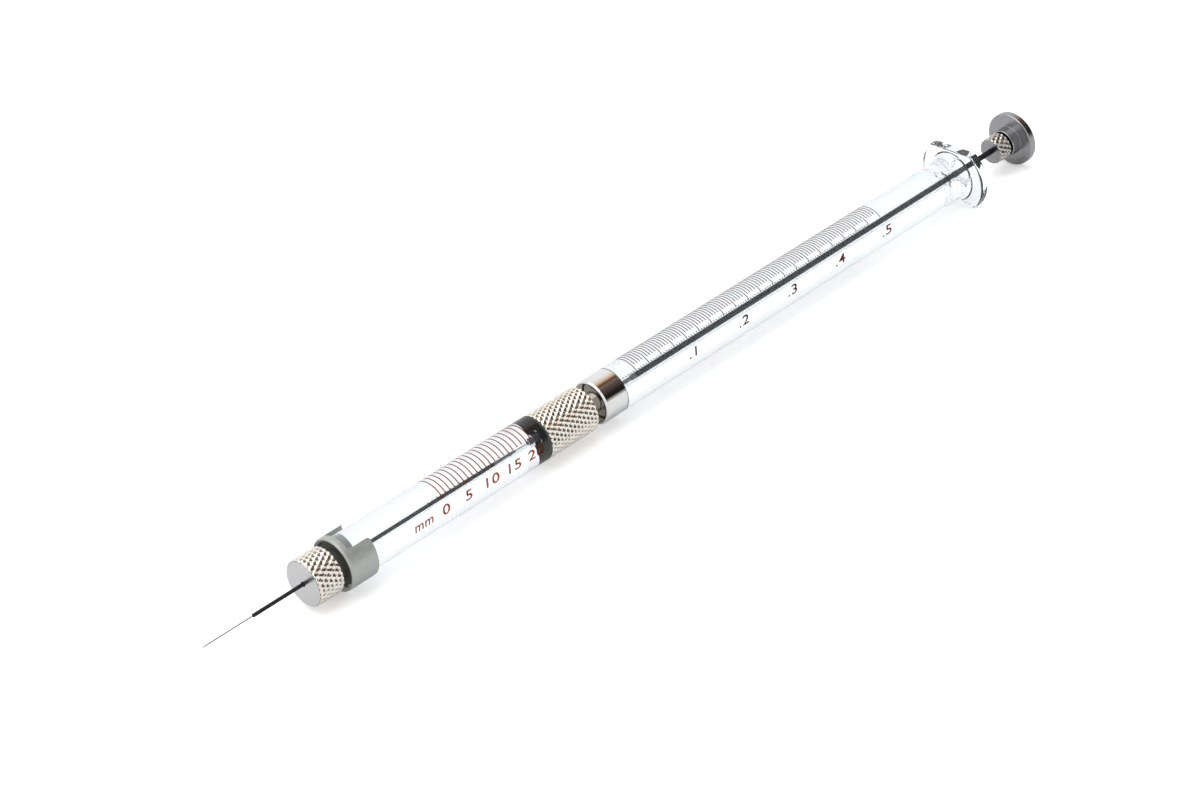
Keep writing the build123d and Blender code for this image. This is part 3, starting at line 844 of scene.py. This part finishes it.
class PrintScales(bpy.types.Operator):
    """Print both glass tubes: 20 divisions of 1 mm on the guide tube, 100 divisions on the barrel"""

    bl_idname = "syringe.print_scales"
    bl_label = "Printed scales"
    line_end = np.radians(-62.0)  # the angle from up at which all lines end
    baseline = np.radians(92)  # the angle from up on which the numerals stand

    def execute(self, context):
        ink = context.scene.syringe_print
        guide_ink = shared("guide_ink", print_ink, tuple(ink.guide_ink))
        barrel_ink = shared("barrel_ink", print_ink, tuple(ink.barrel_ink))
        radius = diameter_of("guide_tube") / 2
        self.lines("guide_scale_lines", GUIDE_ZERO + GUIDE_STEP * np.arange(21), ink.line, radius,
                   (56.0, 46.5), "needle_unit", guide_ink)
        marks = [(str(5 * n), GUIDE_ZERO + 5 * n - 0.3, 1.5) for n in range(5)] + [("mm", 32.6, 1.15)]
        numerals("guide_scale_numerals", marks, ink.numeral, self.baseline, radius, ink.film,
                 "needle_unit", guide_ink)
        self.lines("barrel_scale_lines", BARREL_ZERO + BARREL_STEP * np.arange(101), ink.line * 0.77,
                   BARREL_RADIUS, (41.0, 28.0), "barrel", barrel_ink)
        marks = [("." + str(n), BARREL_ZERO + 20 * BARREL_STEP * n, 1.5) for n in range(1, 6)]
        numerals("barrel_scale_numerals", marks, ink.numeral, self.baseline, BARREL_RADIUS, ink.film,
                 "barrel", barrel_ink)
        return {"FINISHED"}

    def lines(self, name, stations, width, radius, begins, body, material):
        """A scale's lines. Every fifth begins at begins[0] degrees from up, the others at begins[1]."""
        film = bpy.context.scene.syringe_print.film
        first = np.radians(np.where(np.arange(len(stations)) % 5 == 0, *begins))
        last = np.full(len(stations), self.line_end)
        points, faces = arc_bars(stations, width, radius, film, first, last)
        make_piece(name, points, faces, body, material)


# ================= stage =================


class SetStage(bpy.types.Operator):
    """Lay the bench, light it softly from behind and above, and place the camera"""

    bl_idname = "syringe.set_stage"
    bl_label = "Stage"

    def execute(self, context):
        stage = context.scene.syringe_stage
        context.scene.view_settings.view_transform = "Standard"
        self.bench(stage)
        self.studio(context, stage)
        self.lamp(stage)
        self.camera(context, stage)
        return {"FINISHED"}

    def bench(self, stage):
        """A pale sheet just under the flange's flat. It glows as seen by the camera, not in what metal and
        matt surfaces gather from it, and a little more through glass."""
        half = stage.floor / 2
        mesh = bpy.data.meshes.new("bench")
        corners = np.array([(-1, -1, 0), (1, -1, 0), (1, 1, 0), (-1, 1, 0)], float) * half
        mesh.from_pydata((corners - (0, 0, 0.00002)).tolist(), [], [(0, 1, 2, 3)])
        bench = bpy.data.objects.new("bench", mesh)
        bpy.context.scene.collection.objects.link(bench)
        material, tree, shader = new_material("bench_paper")
        where = node(tree, "TexCoord").outputs["Object"]
        fibre = noise(tree, where, 900.0, 4.0)
        tone = ramp(tree, fibre, [(0.3, scaled(stage.bench, 0.99)), (0.7, tuple(stage.bench))])
        tree.links.new(tone, shader.inputs["Base Color"])
        shader.inputs["Roughness"].default_value = 0.9
        shader.inputs["Specular IOR Level"].default_value = 0.1
        shader.inputs["Emission Color"].default_value = (1, 1, 1, 1)
        path = node(tree, "LightPath")
        bounced = node(tree, "Math", {0: path.outputs["Is Diffuse Ray"], 1: path.outputs["Is Glossy Ray"]},
                       operation="MAXIMUM")
        glow = node(tree, "MapRange", {"Value": bounced.outputs["Value"], "To Min": stage.glow, "To Max": 0.0})
        lit = node(tree, "Math", {0: path.outputs["Is Transmission Ray"], 1: stage.through,
                                  2: glow.outputs["Result"]}, operation="MULTIPLY_ADD")
        tree.links.new(lit.outputs["Value"], shader.inputs["Emission Strength"])
        mesh.materials.append(material)

    def studio(self, context, stage):
        """The studio round the bench, by the angle from up towards the camera's side: white behind and
        above, then a warm reflector's edge, and dim room behind the camera."""
        world = bpy.data.worlds.new("studio")
        context.scene.world = world
        world.use_nodes = True
        tree = world.node_tree
        tree.nodes.clear()
        where = node(tree, "TexCoord").outputs["Generated"]
        parts = node(tree, "SeparateXYZ", {"Vector": where})
        towards = node(tree, "Math", {0: parts.outputs["Y"], 1: -1.0}, operation="MULTIPLY")
        lean = node(tree, "Math", {0: towards.outputs["Value"], 1: parts.outputs["Z"]}, operation="ARCTAN2")
        share = node(tree, "MapRange", {"Value": lean.outputs["Value"], "From Min": -np.pi, "From Max": np.pi})

        def at(degrees):
            return (degrees + 180) / 360

        colour = ramp(tree, share.outputs["Result"], [
            (at(-100), (1.0, 1.0, 1.0)), (at(-40), (1.0, 1.0, 1.0)), (at(-27), (0.92, 0.86, 0.78)),
            (at(-12), (0.78, 0.55, 0.37)), (at(-5), (0.50, 0.28, 0.16)), (at(3), (0.10, 0.055, 0.03)),
            (at(15), (0.20, 0.155, 0.12)), (at(28), (0.12, 0.085, 0.07)), (at(50), (0.05, 0.036, 0.03)),
            (at(62), (0.012, 0.012, 0.013)), (at(76), (0.02, 0.02, 0.021)), (at(84), (0.45, 0.42, 0.39)),
            (at(100), (0.8, 0.8, 0.8))])
        ahead = node(tree, "MapRange", {"Value": parts.outputs["X"], "From Min": 0.22, "From Max": 0.42},
                     interpolation_type="SMOOTHSTEP")
        sides = node(tree, "MixRGB", {"Fac": ahead.outputs["Result"], "Color1": (1, 1, 1, 1), "Color2": colour})
        path = node(tree, "LightPath")
        glow = node(tree, "Background", {"Color": sides.outputs["Color"], "Strength": stage.sky})
        even = node(tree, "Background", {"Color": (1, 1, 1, 1), "Strength": stage.fill})
        clear = node(tree, "Background", {"Color": (1, 1, 1, 1), "Strength": stage.sky})
        beyond = node(tree, "MixShader", {0: path.outputs["Is Transmission Ray"], 1: glow.outputs["Background"],
                                          2: clear.outputs["Background"]})
        bounced = node(tree, "Math", {0: path.outputs["Diffuse Depth"], 1: 1.0}, operation="MINIMUM")
        either = node(tree, "MixShader", {0: bounced.outputs["Value"], 1: beyond.outputs["Shader"],
                                          2: even.outputs["Background"]})
        output = node(tree, "OutputWorld")
        tree.links.new(either.outputs["Shader"], output.inputs["Surface"])

    def lamp(self, stage):
        """A softbox so large and far that it lights the whole bench alike, as a wide sun."""
        data = bpy.data.lights.new("softbox", "SUN")
        data.angle = np.radians(66)
        data.energy = stage.softbox
        lamp = bpy.data.objects.new("softbox", data)
        bpy.context.scene.collection.objects.link(lamp)
        lamp.location = Vector((-0.5, 0.25, 2.0))
        lamp.rotation_mode = "QUATERNION"
        lamp.rotation_quaternion = (-lamp.location).to_track_quat("-Z", "Y")

    def camera(self, context, stage):
        """The camera stands ahead of the needle's end and beside it, and looks down at the syringe."""
        data = bpy.data.cameras.new("camera")
        data.sensor_fit, data.sensor_width, data.lens = "HORIZONTAL", 36, stage.lens
        data.clip_start, data.clip_end = 0.01, 50
        camera = bpy.data.objects.new("camera", data)
        context.scene.collection.objects.link(camera)
        right = Vector((0.701996, -0.702413, -0.117544))
        up = Vector((0.442123, 0.300431, 0.845144))
        back = -Vector((0.558327, 0.645257, -0.521454))
        turn = Matrix((right, up, back)).transposed().to_4x4()
        camera.matrix_world = Matrix.Translation((-0.368375, -0.414086, 0.339373)) @ turn
        context.scene.camera = camera


OPERATORS = (BuildGlass, BuildKnurls, BuildTurned, BuildCollar, BuildRods, DressInner, PrintScales, SetStage)


class SyringePanel(bpy.types.Panel):
    """Lists the pieces, the print and the stage, with the sizes and colours that they use"""

    bl_idname = "VIEW3D_PT_syringe"
    bl_label = "Microsyringe"
    bl_space_type = "VIEW_3D"
    bl_region_type = "UI"
    bl_category = "Microsyringe"

    def draw(self, context):
        for operator in OPERATORS:
            self.layout.operator(operator.bl_idname)
        for name in GROUPS:
            box = self.layout.box()
            settings = getattr(context.scene, name)
            for key in settings.__annotations__:
                box.prop(settings, key)


def register():
    for group in (*GROUPS.values(), *OPERATORS, SyringePanel):
        bpy.utils.register_class(group)
    for name, group in GROUPS.items():
        setattr(bpy.types.Scene, name, bpy.props.PointerProperty(type=group))


def unregister():
    for name in GROUPS:
        delattr(bpy.types.Scene, name)
    for group in (SyringePanel, *reversed(OPERATORS), *GROUPS.values()):
        bpy.utils.unregister_class(group)


def main():
    register()
    for operator in OPERATORS:
        family, name = operator.bl_idname.split(".")
        getattr(getattr(bpy.ops, family), name)()


if __name__ == "__main__":
    main()
